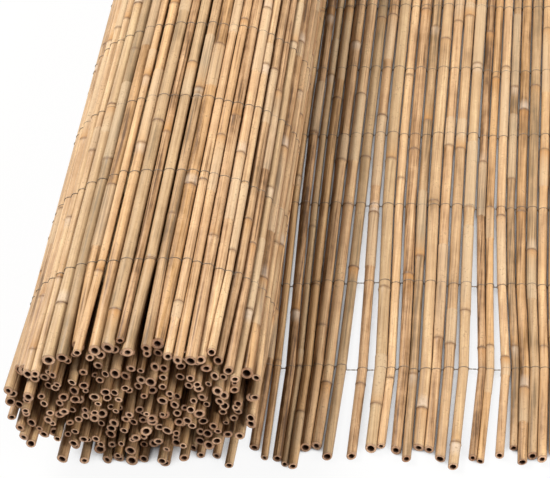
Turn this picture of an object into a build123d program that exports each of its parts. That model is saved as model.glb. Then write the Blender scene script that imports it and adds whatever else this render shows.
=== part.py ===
from build123d import *
from collections import namedtuple
import math
import os
import random

os.makedirs("parts", exist_ok=True)

# Garden fence of dry reeds, woven side by side with wire and partly rolled up.
# X runs along the fence to its loose end, Y along the reeds, Z up from the floor.
# The origin is on the floor in the middle of the box around the whole fence.
# Points and directions of the cross section are complex numbers, X + Z * 1j.

# Reeds, all of one length, each slipped a little along its neighbours
reed_length = 1000
reed_slip = 13
reed_gap = 2.3
roll_reed_radius = (3.3, 4.7)
tail_reed_radius = (3.7, 5.4)
reed_sides = 8

# Wire rows, which cross the reeds at a slant
wire_thickness = 0.9
wire_clearance = 0.1
row_count = 9
row_spacing = 100
row_slant = 0.112

# Roll, an oval spiral that starts on the floor and climbs its left side
roll_width = 223
roll_height = 175
top_pitch = 12
core_width = 60
core_height = 32
runs_per_turn = 24
hoop_runs = 22
angle_step = 0.002

# Tail, the loose stretch that comes out from under the roll
tail_length = 450
wall_thickness = 2.5
bridge_length = 20
slit_bite = 1

layout_seed = 11

wire_room = wire_thickness + wire_clearance
half_height = (roll_height + top_pitch / 2) / 2 - wire_room
turn_count = (half_height - core_height / 2) / top_pitch
half_width = (roll_width / 2 - wire_room - core_width / turn_count / 4) / (1 - 0.5 / turn_count)
side_pitch = (half_width - core_width / 2) / turn_count
roll_centre = complex((half_width - tail_length) / 2, wire_room + half_height)
wall_height = wire_thickness + sum(tail_reed_radius) / 2
first_row = -(row_count - 1) * row_spacing / 2
row_stretch = math.hypot(1, row_slant)
slit_length = (row_count - 1) * row_spacing - 2 * bridge_length

# Centre, direction away from the core, radius, and slip along Y
Reed = namedtuple("Reed", "centre outward radius slip")


# Half the width and height that the spiral has left at an angle
def spiral_size(angle):
    turns = angle / (2 * math.pi)
    return half_width - side_pitch * turns, half_height - top_pitch * turns


# Point and outward direction on the spiral that encloses each turn of reeds
def spiral(angle):
    across, upright = spiral_size(angle)
    point = roll_centre - complex(across * math.sin(angle), upright * math.cos(angle))
    outward = complex(-upright * math.sin(angle), -across * math.cos(angle))
    return point, outward / abs(outward)


# Reeds of the roll from the floor to the core, each a gap away from the one before
def roll_layout(draw):
    reeds = []
    angle = 0.0
    while 2 * spiral_size(angle)[1] > core_height:
        radius = draw.uniform(*roll_reed_radius)
        point, outward = spiral(angle)
        centre = point - outward * radius
        while reeds and abs(centre - reeds[-1].centre) < radius + reeds[-1].radius + reed_gap:
            angle += angle_step
            point, outward = spiral(angle)
            centre = point - outward * radius
        reeds.append(Reed(centre, outward, radius, draw.uniform(-reed_slip, reed_slip)))
    return reeds


# Reeds of the tail from the roll's foot to the loose end, all on the lower wires
def tail_layout(draw, seam):
    reeds = []
    edge = seam + reed_gap / 2
    while edge + 2 * tail_reed_radius[1] < roll_centre.real + tail_length:
        radius = draw.uniform(*tail_reed_radius)
        centre = complex(edge + radius, wire_thickness + radius)
        reeds.append(Reed(centre, -1j, radius, draw.uniform(-reed_slip, reed_slip)))
        edge += 2 * radius + reed_gap
    return reeds


# Upright plane of a reed's near end, with X to the right
def near_end(reed):
    return Plane.XZ.offset(reed_length / 2 - row_slant * reed.centre.real - reed.slip)


draw = random.Random(layout_seed)
roll_reeds = roll_layout(draw)
seam = roll_centre.real + roll_reeds[0].radius + reed_gap / 2
tail_reeds = tail_layout(draw, seam)
tail_end = tail_reeds[-1].centre.real + tail_reeds[-1].radius

# Joints of the rolled wall, each a point between two reeds and the outward direction there
joints = [(complex(seam, wall_height), -1j)]
for here, there in zip(roll_reeds, roll_reeds[1:]):
    step = there.centre - here.centre
    point = here.centre + step * here.radius / (here.radius + there.radius)
    joints.append((point, 1j * step / abs(step)))
core_reed = roll_reeds[-1]
joints.append((core_reed.centre - 1j * core_reed.outward * core_reed.radius, core_reed.outward))


# Eight corners of a reed in the roll, two at each joint and two on each open side
def ridge(reed, joint_before, joint_after):
    rise = wall_thickness / 2
    before, before_outward = joint_before
    after, after_outward = joint_after
    reach = (before_outward + after_outward) / abs(before_outward + after_outward) * reed.radius
    along = -1j * reach * math.tan(math.pi / reed_sides)
    return [
        before + before_outward * rise,
        reed.centre + reach - along,
        reed.centre + reach + along,
        after + after_outward * rise,
        after - after_outward * rise,
        reed.centre - reach + along,
        reed.centre - reach - along,
        before - before_outward * rise,
    ]


# Roll as one ridged wall, whose reeds meet in narrow flats
with BuildPart() as mat_roll:
    for reed, before, after in zip(roll_reeds, joints, joints[1:]):
        with BuildSketch(near_end(reed)):
            with BuildLine():
                Polyline(*[(corner.real, corner.imag) for corner in ridge(reed, before, after)], close=True)
            make_face()
    extrude(amount=-reed_length)
mat_roll.part.label = "mat_roll"
export_step(mat_roll.part, "parts/mat_roll.step")

# Tail as one wall of eight-sided reeds, joined by narrow bridges under the outer wire rows
with BuildPart() as mat_tail:
    for reed in tail_reeds:
        with BuildSketch(near_end(reed)):
            with Locations((reed.centre.real, reed.centre.imag)):
                RegularPolygon(reed.radius, reed_sides, major_radius=False, rotation=180 / reed_sides)
    extrude(amount=-reed_length)
    with BuildSketch(Plane.XY.offset(wall_height - wall_thickness / 2)):
        with BuildLine():
            ends = (seam, tail_reeds[-1].centre.real)
            near_corners = [(x, row_slant * x + first_row) for x in ends]
            far_corners = [(x, row_slant * x - first_row) for x in reversed(ends)]
            Polyline(*near_corners, *far_corners, close=True)
        make_face()
        for reed in tail_reeds[:-1]:
            middle = reed.centre.real + reed.radius + reed_gap / 2
            with Locations((middle, row_slant * middle)):
                Rectangle(reed_gap + 2 * slit_bite, slit_length, mode=Mode.SUBTRACT)
    extrude(amount=wall_thickness)
mat_tail.part.label = "mat_tail"
export_step(mat_tail.part, "parts/mat_tail.step")


# Upright plane of the first wire row, in which X is stretched a little by the slant
row_plane = Plane((0, first_row, 0), x_dir=(1, row_slant, 0), z_dir=(row_slant, -1, 0))


# Straight wire of the tail from a start to the last reed, at a height
def straight_wire(start, height):
    with BuildPart() as wire:
        with BuildSketch(row_plane):
            with Locations((start * row_stretch, height)):
                Rectangle((tail_end - start) * row_stretch, wire_thickness, align=Align.MIN)
        extrude(amount=wire_thickness / 2, both=True)
    return wire.part


# Wire round the outside of the roll, in straight runs that rest on the spiral
def hoop_wire():
    half_run = math.pi / runs_per_turn
    corners = [(0, 1)]
    corners += [((2 * run + 1) * half_run, 1 / math.cos(half_run)) for run in range(hoop_runs)]
    outline = [hoop_point(angle, wire_clearance, spread) for angle, spread in corners]
    outline += [hoop_point(angle, wire_room, spread) for angle, spread in reversed(corners)]
    with BuildPart() as wire:
        with BuildSketch(row_plane):
            with BuildLine():
                Polyline(*outline, close=True)
            make_face()
        extrude(amount=wire_thickness / 2, both=True)
    return wire.part


# Point of the row plane at a lift over the spiral, spread away from the roll's centre
def hoop_point(angle, lift, spread):
    point, outward = spiral(angle)
    point = roll_centre + (point + outward * lift - roll_centre) * spread
    return point.real * row_stretch, point.imag


# The lower wire carries the tail's reeds and goes on round the roll, the upper one lies on them
top_of_tail = max(reed.centre.imag + reed.radius for reed in tail_reeds)
wires = {
    "lower_wire": straight_wire(roll_centre.real, 0),
    "upper_wire": straight_wire(seam, top_of_tail + wire_clearance),
    "roll_wire": hoop_wire(),
}
for row in range(row_count):
    for name, wire in wires.items():
        placed = wire.moved(Location((0, row * row_spacing, 0)))
        placed.label = f"{name}_{row + 1}"
        export_step(placed, f"parts/{placed.label}.step")
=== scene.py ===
import math
import random
from collections import namedtuple

import bpy
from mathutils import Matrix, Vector


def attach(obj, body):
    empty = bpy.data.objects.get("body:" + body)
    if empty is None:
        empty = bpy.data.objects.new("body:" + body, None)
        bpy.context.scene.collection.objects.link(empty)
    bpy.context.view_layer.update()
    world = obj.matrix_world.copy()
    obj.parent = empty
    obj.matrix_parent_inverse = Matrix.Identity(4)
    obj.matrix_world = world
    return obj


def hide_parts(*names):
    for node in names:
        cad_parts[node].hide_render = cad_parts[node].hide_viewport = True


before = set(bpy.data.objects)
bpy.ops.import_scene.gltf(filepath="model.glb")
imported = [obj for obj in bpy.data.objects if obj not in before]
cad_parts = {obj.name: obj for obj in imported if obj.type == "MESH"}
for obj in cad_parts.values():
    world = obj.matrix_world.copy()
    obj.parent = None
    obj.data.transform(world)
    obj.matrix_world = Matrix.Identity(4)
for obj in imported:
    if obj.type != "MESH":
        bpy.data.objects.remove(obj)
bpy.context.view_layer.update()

# Sizes are in millimetres until a mesh is made, apart from those noted as metres.
# X runs along the fence, Y along the reeds and Z up. A point of the cross section is X + Z * 1j.
millimetre = 0.001

# The fence as the CAD model lays it out, with the same seed
mat = {
    "reedLength": 1000,
    "reedSlip": 13,
    "reedGap": 2.3,
    "rollRadius": (3.3, 4.7),
    "tailRadius": (3.7, 5.4),
    "wire": 0.9,
    "wireClearance": 0.1,
    "rowCount": 9,
    "rowSpacing": 100,
    "rowSlant": 0.112,  # along the reeds for each step across them
    "rollWidth": 223,
    "rollHeight": 175,
    "topPitch": 12,
    "coreWidth": 60,
    "coreHeight": 32,
    "angleStep": 0.002,  # radians
    "tailLength": 450,
    "seed": 11,
}

wireRoom = mat["wire"] + mat["wireClearance"]
halfHeight = (mat["rollHeight"] + mat["topPitch"] / 2) / 2 - wireRoom
turnCount = (halfHeight - mat["coreHeight"] / 2) / mat["topPitch"]
halfWidth = (mat["rollWidth"] / 2 - wireRoom - mat["coreWidth"] / turnCount / 4) / (1 - 0.5 / turnCount)
sidePitch = (halfWidth - mat["coreWidth"] / 2) / turnCount
rollCentre = complex((halfWidth - mat["tailLength"]) / 2, wireRoom + halfHeight)
firstRow = -(mat["rowCount"] - 1) * mat["rowSpacing"] / 2

Reed = namedtuple("Reed", "centre outward radius slip angle")


def spiralSize(angle):  # half the width and height that the spiral has left
    turns = angle / (2 * math.pi)
    return halfWidth - sidePitch * turns, halfHeight - mat["topPitch"] * turns


def spiral(angle):  # point and outward direction
    across, upright = spiralSize(angle)
    point = rollCentre - complex(across * math.sin(angle), upright * math.cos(angle))
    outward = complex(-upright * math.sin(angle), -across * math.cos(angle))
    return point, outward / abs(outward)


def isCrowded(centre, radius, last):
    return abs(centre - last.centre) < radius + last.radius + mat["reedGap"]


def layOutRoll(draw):
    reeds = []
    angle = 0.0
    while 2 * spiralSize(angle)[1] > mat["coreHeight"]:
        radius = draw.uniform(*mat["rollRadius"])
        point, outward = spiral(angle)
        while reeds and isCrowded(point - outward * radius, radius, reeds[-1]):
            angle += mat["angleStep"]
            point, outward = spiral(angle)
        slip = draw.uniform(-mat["reedSlip"], mat["reedSlip"])
        reeds.append(Reed(point - outward * radius, outward, radius, slip, angle))
    return reeds


def layOutTail(draw, seam):
    reeds = []
    edge = seam + mat["reedGap"] / 2
    while edge + 2 * mat["tailRadius"][1] < rollCentre.real + mat["tailLength"]:
        radius = draw.uniform(*mat["tailRadius"])
        slip = draw.uniform(-mat["reedSlip"], mat["reedSlip"])
        reeds.append(Reed(complex(edge + radius, mat["wire"] + radius), -1j, radius, slip, 0))
        edge += 2 * radius + mat["reedGap"]
    return reeds


layoutDraw = random.Random(mat["seed"])
rollReeds = layOutRoll(layoutDraw)
seam = rollCentre.real + rollReeds[0].radius + mat["reedGap"] / 2
tailReeds = layOutTail(layoutDraw, seam)
outerCount = sum(reed.angle < 2 * math.pi for reed in rollReeds)
print(f"layout: {len(rollReeds)} reeds in the roll, {outerCount} outermost, {len(tailReeds)} in the tail")


# Node trees

class Flow:  # wraps a socket, so that sums on it add Math nodes
    def __init__(self, tree, socket):
        self.tree = tree
        self.socket = socket

    def maths(self, operation, *values):
        node = self.tree.nodes.new("ShaderNodeMath")
        node.operation = operation
        for slot, value in zip(node.inputs, values):
            plug(self.tree, slot, value)
        return Flow(self.tree, node.outputs[0])

    def __add__(self, other):
        return self.maths("ADD", self, other)

    def __sub__(self, other):
        return self.maths("SUBTRACT", self, other)

    def __mul__(self, other):
        return self.maths("MULTIPLY", self, other)

    def __rsub__(self, other):
        return self.maths("SUBTRACT", other, self)

    __radd__ = __add__
    __rmul__ = __mul__

    def clamped(self):
        result = self.maths("ADD", self, 0)
        result.socket.node.use_clamp = True
        return result

    def past(self, start, rise):  # 0 up to the start, then growing to 1
        return ((self - start) * rise).clamped()


def plug(tree, slot, value):
    if isinstance(value, Flow):
        tree.links.new(value.socket, slot)
    else:
        slot.default_value = value


def fillRamp(ramp, stops):
    while len(ramp.elements) < len(stops):
        ramp.elements.new(1)
    for element, (place, colour) in zip(ramp.elements, stops):
        element.position = place
        element.color = (*colour, 1)


class Bench:  # makes the nodes of one tree
    def __init__(self, tree):
        self.tree = tree

    def node(self, kind, settings=None, sockets=None, result=0):
        node = self.tree.nodes.new(kind)
        for name, value in (settings or {}).items():
            if name == "stops":
                fillRamp(node.color_ramp, value)
            else:
                setattr(node, name, value)
        for name, value in (sockets or {}).items():
            plug(self.tree, node.inputs[name], value)
        return Flow(self.tree, node.outputs[result]) if node.outputs else None

    def several(self, kind, names, sockets=None):  # the named outputs of one node
        node = self.node(kind, {}, sockets).socket.node
        return [Flow(self.tree, node.outputs[name]) for name in names]

    def vector(self, x, y, z):
        return self.node("ShaderNodeCombineXYZ", {}, {"X": x, "Y": y, "Z": z})

    def noise(self, where, detail, roughness):  # swings about 0
        sockets = {"Vector": where, "Scale": 1.0, "Detail": detail, "Roughness": roughness}
        return self.node("ShaderNodeTexNoise", {}, sockets) - 0.5

    def grain(self, place, scale, detail, roughness):  # noise with a scale of its own on each axis
        stretched = self.node("ShaderNodeMapping", {}, {"Vector": place, "Scale": scale})
        return self.noise(stretched, detail, roughness)

    def mix(self, factor, *colours):
        first, second = [colour if isinstance(colour, Flow) else (*colour, 1) for colour in colours]
        return self.node("ShaderNodeMix", {"data_type": "RGBA"}, {0: factor, 6: first, 7: second}, 2)

    def mark(self, name):  # what reedPiece and reedTree have written on the mesh
        return self.node("ShaderNodeAttribute", {"attribute_name": name}, result="Fac")


def emptyBench(block):  # for a material or the world
    block.use_nodes = True
    block.node_tree.nodes.clear()
    return Bench(block.node_tree)


# Materials

# A pair of plain numbers says where a mask starts and how fast it grows
reedLooks = {
    "fibres": ((620, 8, 620), 3, 0.65),  # scale for a metre, detail and roughness of each noise
    "streaks": ((620 / 3, 12, 620 / 3), 2, 0.5),
    "blotches": ((38, 38, 38), 4, 0.7),
    "specks": ((420, 420, 420), 2, 0.55),
    "tones": [  # from dark to pale
        (0.00, (0.10, 0.048, 0.018)),
        (0.22, (0.27, 0.145, 0.062)),
        (0.50, (0.46, 0.275, 0.140)),
        (0.78, (0.56, 0.355, 0.185)),
        (1.00, (0.68, 0.465, 0.25)),
    ],
    "darkest": 0.23,  # shade of the darkest reed, to which the next four add
    "toneShare": 0.55,
    "fibreShare": 1.8,
    "streakShare": 1.2,
    "blotchShare": 0.9,
    "olive": (0.36, 0.265, 0.145),
    "oliveHues": (0.62, 1.3),
    "orange": (0.57, 0.31, 0.10),
    "orangeHues": (0.3, 1.1),  # growing downwards
    "orangeStreaks": (0.1, 0.8),
    "sheath": (0.52, 0.385, 0.24),
    "sheathCover": 0.45,
    "sheathFibres": 1.2,
    "stain": (0.45, 0.22, 0.07),
    "stainCover": 0.85,
    "bloom": (0.58, 0.46, 0.35),
    "bloomCover": 0.65,
    "speck": (0.16, 0.095, 0.045),
    "speckCover": 0.65,
    "speckPeaks": (0.07, 8),
    "speckPatches": (-0.1, 4),
    # painted shade: the underside of each reed, marked by the under attribute, is darkened towards this
    # colour, broken up by the streaks
    "underShade": (0.15, 0.062, 0.022),
    "underShadeCover": 0.88,
    "underShadeEdge": (0.22, 3.4),
    "underShadeStreaks": 0.16,
    "knot": (0.16, 0.085, 0.04),
    "knotCover": 0.85,
    "darkRim": (0.42, 0.20, 0.10),
    "paleRim": (0.92, 0.58, 0.36),
    "rimPaleness": 0.2,
    "rimTone": 0.7,
    "rimSpecks": 1.4,
    # painted shade: the inside of each reed's bore is coloured nearly black
    "hole": (0.05, 0.018, 0.007),
    "roughness": 0.42,
    "roughnessSwing": 0.2,
    "specular": 0.35,
    "bump": 0.7,
    "bumpDepth": 0.0006,  # metres
    "bumpStreaks": 0.6,
}


def reedColour(bench, fibres, streaks, blotches, specks):
    looks = reedLooks
    tone, hue = bench.mark("tone"), bench.mark("hue")
    shade = looks["darkest"] + tone * looks["toneShare"]
    shade += fibres * looks["fibreShare"] + streaks * looks["streakShare"] + blotches * looks["blotchShare"]
    colour = bench.node("ShaderNodeValToRGB", {"stops": looks["tones"]}, {"Fac": shade.clamped()})
    colour = bench.mix(hue.past(*looks["oliveHues"]), colour, looks["olive"])

    limit, rise = looks["orangeHues"]
    start, streakRise = looks["orangeStreaks"]
    warmth = ((limit - hue) * rise + (streaks - start) * streakRise).clamped()
    colour = bench.mix(warmth, colour, looks["orange"])

    cover = (looks["sheathCover"] + fibres * looks["sheathFibres"]).clamped()
    colour = bench.mix(bench.mark("sheath") * cover, colour, looks["sheath"])
    stain = (bench.mark("stain") * (looks["stainCover"] + streaks)).clamped()
    colour = bench.mix(stain, colour, looks["stain"])
    bloom = (bench.mark("bloom") * (looks["bloomCover"] + blotches)).clamped()
    colour = bench.mix(bloom, colour, looks["bloom"])
    spots = specks.past(*looks["speckPeaks"]) * blotches.past(*looks["speckPatches"])
    colour = bench.mix(spots * looks["speckCover"], colour, looks["speck"])
    # painted shade on the lower side of each reed, broken up by the streaks
    underShade = (bench.mark("under") + streaks * looks["underShadeStreaks"]).past(*looks["underShadeEdge"])
    colour = bench.mix(underShade * looks["underShadeCover"], colour, looks["underShade"])
    colour = bench.mix(bench.mark("knot") * (looks["knotCover"] + blotches), colour, looks["knot"])

    weathered = (looks["rimPaleness"] + tone * looks["rimTone"] + specks * looks["rimSpecks"]).clamped()
    rim = bench.mix(weathered, looks["darkRim"], looks["paleRim"])
    colour = bench.mix(bench.mark("rim"), colour, rim)
    # painted shade inside the bore of each cut end
    return bench.mix(bench.mark("hole"), colour, looks["hole"])


def reedMaterial():
    looks = reedLooks
    material = bpy.data.materials.new("dryReed")
    bench = emptyBench(material)
    place = bench.node("ShaderNodeTexCoord", result="Object")
    names = ("fibres", "streaks", "blotches", "specks")
    noises = {name: bench.grain(place, *looks[name]) for name in names}
    uneven = noises["fibres"] + noises["blotches"] + bench.mark("sheath")
    height = noises["fibres"] + noises["streaks"] * looks["bumpStreaks"]
    sockets = {"Strength": looks["bump"], "Distance": looks["bumpDepth"], "Height": height}
    shader = bench.node("ShaderNodeBsdfPrincipled", {}, {
        "Base Color": reedColour(bench, **noises),
        "Roughness": (looks["roughness"] + uneven * looks["roughnessSwing"]).clamped(),
        "Normal": bench.node("ShaderNodeBump", {}, sockets),
        "Specular IOR Level": looks["specular"],
    })
    bench.node("ShaderNodeOutputMaterial", {}, {"Surface": shader})
    return material


wireLooks = {
    "patches": ((160, 160, 160), 3, 0.6),
    "tones": [
        (0.35, (0.13, 0.10, 0.075)),
        (0.55, (0.25, 0.20, 0.15)),
        (0.70, (0.24, 0.13, 0.06)),
    ],
    "roughness": 0.6,
    "roughnessSwing": 0.4,
    "metallic": 0.4,
}


def wireMaterial():
    looks = wireLooks
    material = bpy.data.materials.new("bindingWire")
    bench = emptyBench(material)
    place = bench.node("ShaderNodeTexCoord", result="Object")
    patches = bench.grain(place, *looks["patches"])
    shader = bench.node("ShaderNodeBsdfPrincipled", {}, {
        "Base Color": bench.node("ShaderNodeValToRGB", {"stops": looks["tones"]}, {"Fac": patches + 0.5}),
        "Roughness": looks["roughness"] + patches * looks["roughnessSwing"],
        "Metallic": looks["metallic"],
    })
    bench.node("ShaderNodeOutputMaterial", {}, {"Surface": shader})
    return material


materials = {"reed": reedMaterial(), "wire": wireMaterial()}
print("materials:", ", ".join(materials))


# Geometry Nodes

def newTree(name, inputs):
    tree = bpy.data.node_groups.new(name, "GeometryNodeTree")
    tree.interface.new_socket("Geometry", in_out="INPUT", socket_type="NodeSocketGeometry")
    tree.interface.new_socket("Geometry", in_out="OUTPUT", socket_type="NodeSocketGeometry")
    for label, kind in inputs.items():
        tree.interface.new_socket(label, in_out="INPUT", socket_type=kind)
    source = tree.nodes.new("NodeGroupInput")
    given = {slot.name: Flow(tree, slot) for slot in source.outputs if slot.name}
    return tree, Bench(tree), given


def tubesAlong(bench, given, radius):  # a round tube along each string of points
    strings = bench.node("GeometryNodeMeshToCurve", {}, {"Mesh": given["Geometry"]})
    sockets = {"Resolution": given["Sides"], "Radius": radius}
    ring = bench.node("GeometryNodeCurvePrimitiveCircle", {}, sockets)
    sockets = {"Curve": strings, "Profile Curve": ring, "Scale": 1.0, "Fill Caps": True}
    return bench.node("GeometryNodeCurveToMesh", {}, sockets)


def endTree(bench, geometry, material):
    smooth = bench.node("GeometryNodeSetShadeSmooth", {}, {"Geometry": geometry, "Shade Smooth": True})
    real = bench.node("GeometryNodeRealizeInstances", {}, {"Geometry": smooth})
    dressed = bench.node("GeometryNodeSetMaterial", {}, {"Geometry": real, "Material": material})
    bench.node("NodeGroupOutput", {}, {"Geometry": dressed})


# Steps of the noise round a reed, for each metre along it, and for each metre to the next reed
unevenness = {
    "oval": (0.9, 9, 90),
    "torn": (2.2, 40, 300),
}


def reedTree():  # wraps a unit tube round each string of rings, then gives every ring its place and size
    tree, bench, given = newTree("reedTubes", {
        "Sides": "NodeSocketInt",
        "Ovalness": "NodeSocketFloat",
        "Tear": "NodeSocketFloat",
        "Seed": "NodeSocketFloat",
        "Material": "NodeSocketMaterial",
    })

    def written(name, kind="FLOAT"):  # what reedPiece has written on the strings
        return bench.node("GeometryNodeInputNamedAttribute", {"data_type": kind}, {"Name": name})

    tubes = tubesAlong(bench, given, 1.0)
    position = bench.node("GeometryNodeInputPosition")
    side, rise = bench.several("ShaderNodeSeparateXYZ", "XZ", {"Vector": position})
    centre = written("ringCentre", "FLOAT_VECTOR")
    across, along, up = bench.several("ShaderNodeSeparateXYZ", "XYZ", {"Vector": centre})
    radius = written("ringRadius")

    turn, run, spread = unevenness["oval"]
    shifted = side * turn + across * spread + given["Seed"]
    where = bench.vector(shifted, along * run, rise * turn + up * spread)
    grown = radius * (1 + bench.noise(where, 1, 0.5) * given["Ovalness"])
    turn, run, spread = unevenness["torn"]
    where = bench.vector(side * turn + across * spread, along * run, rise * turn)
    torn = bench.noise(where, 2, 0.7) * written("tear") * given["Tear"]
    cut = (side * written("slope") + rise * written("lean")) * radius

    # under runs from 0 on top of each reed to 1 on its underside; the reed material paints shade with it
    sockets = {"Geometry": tubes, "Name": "under", "Value": 0.5 - rise * 0.5}
    sided = bench.node("GeometryNodeStoreNamedAttribute", {"data_type": "FLOAT"}, sockets)
    place = bench.vector(across + side * grown, along + torn + cut, up + rise * grown)
    moved = bench.node("GeometryNodeSetPosition", {}, {"Geometry": sided, "Position": place})
    endTree(bench, moved, given["Material"])
    return tree


def wireTree():
    tree, bench, given = newTree("wireTubes", {
        "Sides": "NodeSocketInt",
        "Radius": "NodeSocketFloat",
        "Material": "NodeSocketMaterial",
    })
    endTree(bench, tubesAlong(bench, given, given["Radius"]), given["Material"])
    return tree


def runTree(piece, tree, values):  # gives the tree its inputs, and keeps what it makes as a plain mesh
    modifier = piece.modifiers.new("make", "NODES")
    modifier.node_group = tree
    for item in tree.interface.items_tree:
        if item.in_out == "INPUT" and item.name in values:
            modifier[item.identifier] = values[item.name]
    depsgraph = bpy.context.evaluated_depsgraph_get()
    depsgraph.update()
    mesh = bpy.data.meshes.new_from_object(
        piece.evaluated_get(depsgraph), preserve_all_data_layers=True, depsgraph=depsgraph
    )
    piece.modifiers.remove(modifier)
    piece.data = mesh


def stringMesh(name, strings, attributes):  # a vertex for each point, a chain of edges for each string
    points, edges = [], []
    for string in strings:
        edges += [(len(points) + step, len(points) + step + 1) for step in range(len(string) - 1)]
        points += string
    mesh = bpy.data.meshes.new(name)
    mesh.from_pydata(points, edges, [])
    for label, (kind, values) in attributes.items():
        layer = mesh.attributes.new(label, kind, "POINT")
        layer.data.foreach_set("vector" if kind == "FLOAT_VECTOR" else "value", values)
    piece = bpy.data.objects.new(name, mesh)
    bpy.context.scene.collection.objects.link(piece)
    return piece


# Reeds

cane = {
    "stoutness": {"outer": (1.13, 1.30), "inner": (0.88, 1.20), "tail": (1.00, 1.20)},  # of the CAD radius
    "taper": {"roll": (-0.07, 0.07), "tail": (0.12, 0.18)},  # share gained from the middle to the far end
    "slipShare": {"outer": 0.9, "inner": 0.55, "tail": 1.0},  # of the CAD slip
    "faceLean": 7,  # the top of the roll's end face lies this far back
    "tints": {"outer": (1, 1), "inner": (1, 0.55), "tail": (0.93, 1)},  # highest tone and hue
    "internode": (130, 260),
    "bareEnd": 18,  # no knot so near an end
    "kink": {"roll": 0.5, "tail": 0.2},  # sideways, at a knot
    "swell": (0.6, 1.25),
    "bloomShare": 0.24,
    "stainShare": 0.6,
    "faintest": 0.3,
    "sheathShare": 0.42,
    "sheathLength": (18, 120),
    "sheathThickness": (0.25, 0.55),
    "sheathMargins": (0.4, 0.05),  # bare at its low end and at its high end
    "tornEdge": 0.25,
    "tornRoot": 1.5,
    "tear": 0.006,  # metres
    "bore": (0.44, 0.62),  # share of the outer radius
    "boreDepth": 14,
    "chamfer": 0.4,
    "slope": (-0.2, 0.2),  # of the cut, from side to side
    "lean": (0.08, 0.36),  # of the cut, from bottom to top
    "cutReach": 6,  # no ring so near an end, apart from those of the cut
    "rowSpread": 0.65,
    "endSpread": 3.2,
    "furthest": 1.4,  # times the spread
    "rowGap": 0.02,
    "endGap": 0.15,
    "settleRounds": 24,
    "coreSqueeze": 0.5,
    "jitter": {"roll": 0.35, "tail": 0.08},
    "endJitter": 2.5,
    "closedShare": 0.52,  # of the tail's gaps at its near ends
    "evenness": 0.9,
    "evenFrom": 0.5,  # share of the length beyond which the gaps are even
    "evenPower": 3,
    "touch": 0.2,
    "endLift": 3,
    "shortEnd": 95,  # the inner reeds' knots show only so near their ends
    "sides": {"outer": 14, "inner": 10, "tail": 14},
    "ovalness": 0.10,
    "seed": 5,
}

# Rings of one knot: distance in the direction of growth, swelling, and marks of knot, bloom and stain
knotRings = [
    (-16, 0.00, 0.0, 0.0, 0.00),
    (-9, 0.01, 0.0, 0.8, 0.00),
    (-3, 0.04, 0.0, 1.0, 0.00),
    (-1.1, 0.13, 0.4, 0.6, 0.00),
    (-0.3, 0.11, 1.0, 0.0, 0.00),
    (0.3, -0.01, 1.0, 0.0, 0.50),
    (1.1, 0.06, 0.5, 0.0, 1.00),
    (3.5, 0.01, 0.0, 0.0, 0.90),
    (13, 0.00, 0.0, 0.0, 0.35),
    (32, 0.00, 0.0, 0.0, 0.00),
]

markNames = ("tone", "hue", "knot", "bloom", "stain", "sheath", "rim", "hole", "tear", "slope", "lean")
leastLength = 0.01  # keeps a division safe

Cane = namedtuple("Cane", "grade radius low high path kinks knots taper")  # one reed as it grew and lies


def blend(table, y):  # straight steps between the rows of a table sorted by its first column
    if y <= table[0][0]:
        return table[0][1]
    for (low, before), (high, after) in zip(table, table[1:]):
        if y <= high:
            return before + (after - before) * (y - low) / (high - low)
    return table[-1][1]


def centreAt(this, y):
    return blend(this.path, y) + blend(this.kinks, y)


def radiusAt(this, y):
    return this.radius * (1 + this.taper * 2 * (y - (this.low + this.high) / 2) / mat["reedLength"])


def settle(places, homes, radii, gap, limit):  # neighbours push each other clear, but stay near home
    order = sorted(range(len(homes)), key=lambda index: homes[index].real)
    reach = 2 * max(radii) + 2 * limit + gap
    for _ in range(cane["settleRounds"]):
        for rank, one in enumerate(order):
            for other in order[rank + 1:]:
                if homes[other].real - homes[one].real > reach:
                    break
                between = places[other] - places[one]
                room = radii[one] + radii[other] + gap
                if abs(between) < room:
                    push = between / max(abs(between), leastLength) * (room - abs(between)) / 2
                    places[one] -= push
                    places[other] += push
        for index, home in enumerate(homes):
            drift = places[index] - home
            place = home + drift * min(1, limit / max(abs(drift), leastLength))
            places[index] = complex(place.real, max(place.imag, mat["wire"] + radii[index]))
    return places


def lieFlat(homes, girths, weights, lifts):  # the slack is shared out over the gaps by their weights
    slack = homes[-1].real - homes[0].real - sum(a + b - cane["touch"] for a, b in zip(girths, girths[1:]))
    unit = slack / sum(weights)
    along = homes[0].real
    places = []
    for girth, nextGirth, weight, lift in zip(girths, girths[1:] + [0], weights + [0], lifts):
        places.append(complex(along, mat["wire"] + girth + lift))
        along += girth + nextGirth - cane["touch"] + weight * unit
    return places


def tighten(reed):  # the inner turns are pressed flat, so that the core closes
    depth = (reed.angle / (2 * math.pi * turnCount)) ** 2
    return reed.centre - 1j * (reed.centre - rollCentre).imag * cane["coreSqueeze"] * depth


def settleTail(homes, girths, wishes, share, isEnd):  # a few wide gaps near by, small even gaps far away
    even = cane["evenness"] * min(share / cane["evenFrom"], 1) ** cane["evenPower"]
    weights = [even + max(value.real / 2 + 0.5 - cane["closedShare"], 0) for value in wishes[:-1]]
    lifts = [abs(value.imag) * cane["endLift"] * isEnd for value in wishes]
    return lieFlat(homes, girths, weights, lifts)


def settleRoll(homes, girths, wishes, isEnd):
    spread = cane["endSpread" if isEnd else "rowSpread"]
    gap = cane["endGap" if isEnd else "rowGap"]
    places = [home + value * spread for home, value in zip(homes, wishes)]
    return settle(places, homes, girths, gap, cane["furthest"] * spread)


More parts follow.
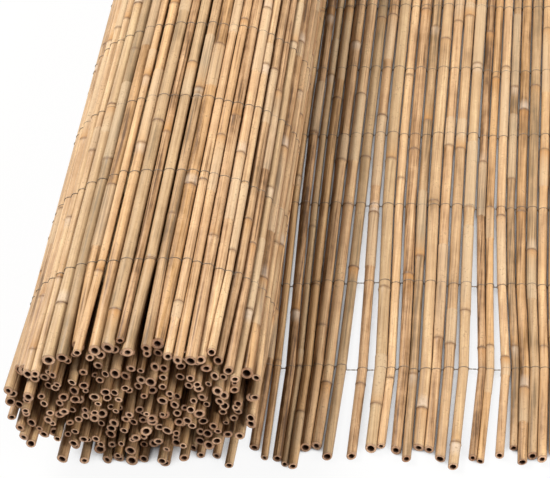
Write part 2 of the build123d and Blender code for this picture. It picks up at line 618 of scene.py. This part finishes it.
def layCanes(reeds, grades, draw):  # reeds drift from row to row, and splay beyond the outer rows
    isTail = grades[0] == "tail"
    part = "tail" if isTail else "roll"
    homes = [reed.centre if isTail else tighten(reed) for reed in reeds]
    radii = [reed.radius * draw.uniform(*cane["stoutness"][grade]) for reed, grade in zip(reeds, grades)]
    tapers = [draw.uniform(*cane["taper"][part]) for _ in reeds]

    def wish():
        return [complex(draw.uniform(-1, 1), draw.uniform(-1, 1)) for _ in reeds]

    near, far, stations = wish(), wish(), []
    for station in range(mat["rowCount"] + 2):
        share = station / (mat["rowCount"] + 1)
        isEnd = share in (0, 1)
        girths = [radius * (1 + taper * (2 * share - 1)) for radius, taper in zip(radii, tapers)]
        jitter = cane["jitter"][part] * (cane["endJitter"] if isEnd else 1)
        wishes = [a + (b - a) * share + c * jitter for a, b, c in zip(near, far, wish())]
        if isTail:
            stations.append(settleTail(homes, girths, wishes, share, isEnd))
        else:
            stations.append(settleRoll(homes, girths, wishes, isEnd))

    canes = []
    for index, (reed, grade) in enumerate(zip(reeds, grades)):
        start = mat["rowSlant"] * reed.centre.real
        low = start + reed.slip * cane["slipShare"][grade] - mat["reedLength"] / 2
        if not isTail:
            low += cane["faceLean"] * (reed.centre - rollCentre).imag / halfHeight
        high = low + mat["reedLength"]
        rows = [start + firstRow + row * mat["rowSpacing"] for row in range(mat["rowCount"])]
        path = [(spot, places[index]) for spot, places in zip([low, *rows, high], stations)]
        knots = knotPlaces(low, high, draw)
        kinks = [(spot, draw.uniform(-1, 1) * cane["kink"][part]) for spot in [low, *knots, high]]
        canes.append(Cane(grade, radii[index], low, high, path, kinks, knots, tapers[index]))
    return canes


def knotPlaces(low, high, draw):
    places = []
    spot = low - draw.uniform(0, cane["internode"][1])
    while spot < high:
        if low + cane["bareEnd"] < spot < high - cane["bareEnd"]:
            places.append(spot)
        spot += draw.uniform(*cane["internode"])
    return places


def endSteps(radius, draw):  # depth into the end, share of the outer radius, and marks of each ring
    bore = draw.uniform(*cane["bore"])
    cut = {"slope": draw.uniform(*cane["slope"]), "lean": draw.uniform(*cane["lean"])}
    return [
        # the rings inside the bore are marked for painted shade
        (cane["boreDepth"], 0.30 * bore, {"hole": 1.0}),
        (cane["boreDepth"] * 0.8, bore, {"hole": 1.0}),
        (2.0, bore, {"hole": 1.0, **cut}),
        (0.25, bore, {"hole": 0.7, "rim": 0.3, **cut}),
        (0.0, bore + 0.08, {"rim": 1.0, **cut}),
        (0.0, 0.97 - cane["chamfer"] / radius, {"rim": 0.9, **cut}),
        # the outer edge of each cut end and the first millimetres of its side are darkened with the knot
        # colour
        (cane["chamfer"] * 0.5, 0.97, {"rim": 0.2, "knot": 0.8, **cut}),
        (cane["chamfer"], 1.0, {"knot": 0.6, **cut}),
        (cane["chamfer"] * 3, 1.0, {"knot": 0.15, **cut}),
        (cane["chamfer"] * 12, 1.0, {}),
    ]


def markKnots(this, growth, draw):  # swelling and marks by distance along the reed, and its sheaths
    marks = {spot: (0, {}) for spot, _ in this.path[1:-1]}
    sheaths = []
    for spot in this.knots:
        bloom = draw.uniform(cane["faintest"], 1) * (draw.random() < cane["bloomShare"])
        stain = draw.uniform(cane["faintest"], 1) * (draw.random() < cane["stainShare"])
        swell = draw.uniform(*cane["swell"])
        hasSheath = draw.random() < cane["sheathShare"]
        edge = spot + growth * draw.uniform(*cane["sheathLength"])
        thickness = draw.uniform(*cane["sheathThickness"])
        if this.grade == "inner" and this.low + cane["shortEnd"] < spot < this.high - cane["shortEnd"]:
            continue
        for distance, rise, dark, pale, brown in knotRings:
            given = {"knot": dark, "bloom": pale * bloom, "stain": brown * stain}
            marks[spot + growth * distance] = (rise * swell, given)
        if hasSheath:
            sheaths.append((min(spot, edge), max(spot, edge), thickness))
            for side in (-1, 1):
                marks[edge + side * cane["tornRoot"]] = (0, {})
                marks[edge + side * cane["tornEdge"]] = (0, {"tear": 1.0})
    return marks, sheaths


def ringsOf(this, draw):  # place, radius and marks of every ring from the low end to the high one
    growth = draw.choice((-1, 1))
    topTone, topHue = cane["tints"][this.grade]
    common = {"tone": draw.random() * topTone, "hue": draw.random() * topHue}
    marks, sheaths = markKnots(this, growth, draw)
    lowMargin, highMargin = cane["sheathMargins"]
    rings = []

    def addRing(y, radius, given):
        centre = centreAt(this, y)
        values = {**dict.fromkeys(markNames, 0.0), **common, **given}
        rings.append(((centre.real, y, centre.imag), radius, values))

    for depth, share, given in endSteps(this.radius, draw):
        addRing(this.low + depth, radiusAt(this, this.low) * share, given)
    for y in sorted(marks):
        if not this.low + cane["cutReach"] < y < this.high - cane["cutReach"]:
            continue
        swell, given = marks[y]
        thickness = 0
        for begin, end, depth in sheaths:
            if begin + lowMargin < y < end - highMargin:
                thickness, given = depth, {**given, "sheath": 1.0}
        addRing(y, radiusAt(this, y) * (1 + swell) + thickness, given)
    for depth, share, given in reversed(endSteps(this.radius, draw)):
        addRing(this.high - depth, radiusAt(this, this.high) * share, given)
    return rings


def reedPiece(name, canes, draw):
    strings, centres, radii = [], [], []
    marks = {mark: [] for mark in markNames}
    for this in canes:
        rings = ringsOf(this, draw)
        strings.append([(0, step, 0) for step in range(len(rings))])
        for centre, radius, values in rings:
            centres += [value * millimetre for value in centre]
            radii.append(radius * millimetre)
            for mark in markNames:
                marks[mark].append(values[mark])
    attributes = {"ringCentre": ("FLOAT_VECTOR", centres), "ringRadius": ("FLOAT", radii)}
    attributes.update({mark: ("FLOAT", values) for mark, values in marks.items()})
    piece = stringMesh(name, strings, attributes)
    runTree(piece, reedMaker, {
        "Sides": cane["sides"][canes[0].grade],
        "Ovalness": cane["ovalness"],
        "Tear": cane["tear"],
        "Seed": float(cane["seed"]),
        "Material": materials["reed"],
    })
    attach(piece, "root")
    triangles = sum(len(face.vertices) - 2 for face in piece.data.polygons)
    print(f"{name}: {len(canes)} reeds, {triangles} triangles")
    return piece


reedMaker = reedTree()
caneDraw = random.Random(cane["seed"])
rollGrades = ["outer"] * outerCount + ["inner"] * (len(rollReeds) - outerCount)
rollCanes = layCanes(rollReeds, rollGrades, caneDraw)
tailCanes = layCanes(tailReeds, ["tail"] * len(tailReeds), caneDraw)
outerPiece = reedPiece("roll_outer_reeds", rollCanes[:outerCount], caneDraw)
reedPiece("roll_inner_reeds", rollCanes[outerCount:], caneDraw)
tailPiece = reedPiece("tail_reeds", tailCanes, caneDraw)
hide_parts("mat_roll")
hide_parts("mat_tail")


# Wires

binding = {
    "radius": 0.33,
    "clearance": 0.05,
    "sides": 5,
    "overAngles": (62, 32, 0, -32, -62),  # degrees, where the wire is bent over a reed
    "twistSteps": 4,
    "leastTwist": 0.2,
    "wander": 1.9,
    "memory": 0.8,
    "seed": 8,
}

Bar = namedtuple("Bar", "centre outward radius y")  # one reed where a wire row crosses it


def crossedBars(row, draw):  # from the tail's loose end to the seam, and once round the roll
    bars, wander = [], 0
    for reed, this in list(zip(tailReeds, tailCanes))[::-1] + list(zip(rollReeds, rollCanes))[:outerCount]:
        spot = this.path[row + 1][0]
        wander = wander * binding["memory"] + draw.uniform(-1, 1) * binding["wander"]
        bars.append(Bar(centreAt(this, spot), reed.outward, radiusAt(this, spot), spot + wander))
    return bars


def wirePath(bars, side):  # over one side of each reed, and twisted with the other wire between two reeds
    path = []
    lift = binding["radius"] + binding["clearance"]

    def addPoint(bar, point, shift=0.0):
        y = bar.y + mat["rowSlant"] * (point - bar.centre).real + shift
        path.append((point.real * millimetre, y * millimetre, point.imag * millimetre))

    for bar, nextBar in zip(bars, bars[1:] + [None]):
        for angle in binding["overAngles"]:
            turn = math.radians(angle)
            direction = bar.outward * side * complex(math.cos(turn), math.sin(turn) * side)
            addPoint(bar, bar.centre + direction * (bar.radius + lift))
        if nextBar is None:
            break
        step = nextBar.centre - bar.centre
        along = step / abs(step)
        gap = abs(step) - bar.radius - nextBar.radius
        twistLength = max(gap - 2 * binding["radius"], binding["leastTwist"])
        for twist in range(binding["twistSteps"] + 1):
            share = twist / binding["twistSteps"]
            turn = 2 * math.pi * share
            point = bar.centre + along * (bar.radius + gap / 2 + (share - 0.5) * twistLength)
            point += 1j * along * side * math.cos(turn) * binding["radius"]
            addPoint(bar, point, side * math.sin(turn) * binding["radius"])
    return path


wireDraw = random.Random(binding["seed"])
wireMaker = wireTree()
for row in range(mat["rowCount"]):
    bars = crossedBars(row, wireDraw)
    piece = stringMesh(f"wire_row_{row + 1}", [wirePath(bars, side) for side in (1, -1)], {})
    runTree(piece, wireMaker, {
        "Sides": binding["sides"],
        "Radius": binding["radius"] * millimetre,
        "Material": materials["wire"],
    })
    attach(piece, "root")
    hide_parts(*[f"{kind}_{row + 1}" for kind in ("lower_wire", "upper_wire", "roll_wire")])
print("wires:", mat["rowCount"], "rows")


# Stage, in metres

studio = {
    "floorSize": 60,
    "floor": (0.70, 0.67, 0.64),
    "floorGlow": 0.92,
    "crevice": 0.04,  # the floor's glow fades where reeds stand closer round it than this
    "creviceEdge": (0.19, 9),  # openness where it starts, and how fast it grows
    "creviceRays": 8,
    "worldStrength": 0.14,
    "aim": (-0.05, 0, 0.05),
    "lamps": [  # name, place, width and power
        ("key", (-1.6, 0.3, 2.4), 1.3, 113),
        ("fill", (2.2, -0.6, 1.4), 2.4, 84),
    ],
}


def seenRay(bench):  # 1 where the camera, a reflection or a refraction sees the surface
    names = ("Is Camera Ray", "Is Glossy Ray", "Is Transmission Ray")
    camera, reflection, refraction = bench.several("ShaderNodeLightPath", names)
    return (camera + reflection + refraction).clamped()


def floorMaterial():
    material = bpy.data.materials.new("paleFloor")
    bench = emptyBench(material)
    matt = bench.node("ShaderNodeBsdfDiffuse", {}, {"Color": (*studio["floor"], 1)})
    glow = bench.node("ShaderNodeEmission", {}, {"Color": (1, 1, 1, 1), "Strength": 1.0})
    rays, sockets = {"samples": studio["creviceRays"]}, {"Distance": studio["crevice"]}
    # the floor glows evenly for the camera, except where ambient occlusion finds reeds close round it;
    # there the glow is taken away, as painted shade in the narrow gaps
    openness = bench.node("ShaderNodeAmbientOcclusion", rays, sockets, "AO")
    bare = openness.past(*studio["creviceEdge"]) * studio["floorGlow"]
    both = bench.node("ShaderNodeMixShader", {}, {0: seenRay(bench) * bare, 1: matt, 2: glow})
    bench.node("ShaderNodeOutputMaterial", {}, {"Surface": both})
    return material


def makeFloor():
    half = studio["floorSize"] / 2
    corners = [(-half, -half, 0), (half, -half, 0), (half, half, 0), (-half, half, 0)]
    mesh = bpy.data.meshes.new("floor")
    mesh.from_pydata(corners, [], [(0, 1, 2, 3)])
    mesh.materials.append(floorMaterial())
    floor = bpy.data.objects.new("floor", mesh)
    bpy.context.scene.collection.objects.link(floor)


def makeWorld():
    world = bpy.data.worlds.new("studio")
    bpy.context.scene.world = world
    bench = emptyBench(world)
    strength = studio["worldStrength"] + seenRay(bench) * (1 - studio["worldStrength"])
    sky = bench.node("ShaderNodeBackground", {}, {"Color": (1, 1, 1, 1), "Strength": strength})
    bench.node("ShaderNodeOutputWorld", {}, {"Surface": sky})


def aimed(item, name, place, forward):
    holder = bpy.data.objects.new(name, item)
    holder.location = place
    holder.rotation_euler = forward.to_track_quat("-Z", "Y").to_euler()
    bpy.context.scene.collection.objects.link(holder)
    return holder


def makeLamps():
    for name, place, size, power in studio["lamps"]:
        lamp = bpy.data.lights.new(name, "AREA")
        lamp.shape = "DISK"
        lamp.size = size
        lamp.energy = power
        aimed(lamp, name, place, Vector(studio["aim"]) - Vector(place))


# The camera, fitted to the photo's wire rows, silhouettes and reed ends
shot = {
    "sensor": 36,
    "lens": 106.5,
    "elevation": 50.9,  # degrees
    "heading": 7.0,  # degrees, from Y towards the roll
    "place": (0.0493, -1.2866, 1.2894),  # metres
}


def makeCamera():
    dip, heading = math.radians(shot["elevation"]), math.radians(shot["heading"])
    level = Vector((-math.sin(heading), math.cos(heading), 0))
    lens = bpy.data.cameras.new("camera")
    lens.sensor_width = shot["sensor"]
    lens.lens = shot["lens"]
    forward = level * math.cos(dip) - Vector((0, 0, math.sin(dip)))
    bpy.context.scene.camera = aimed(lens, "camera", shot["place"], forward)


makeFloor()
makeWorld()
makeLamps()
makeCamera()
bpy.context.scene.view_settings.view_transform = "Standard"
print("stage and camera: ready")
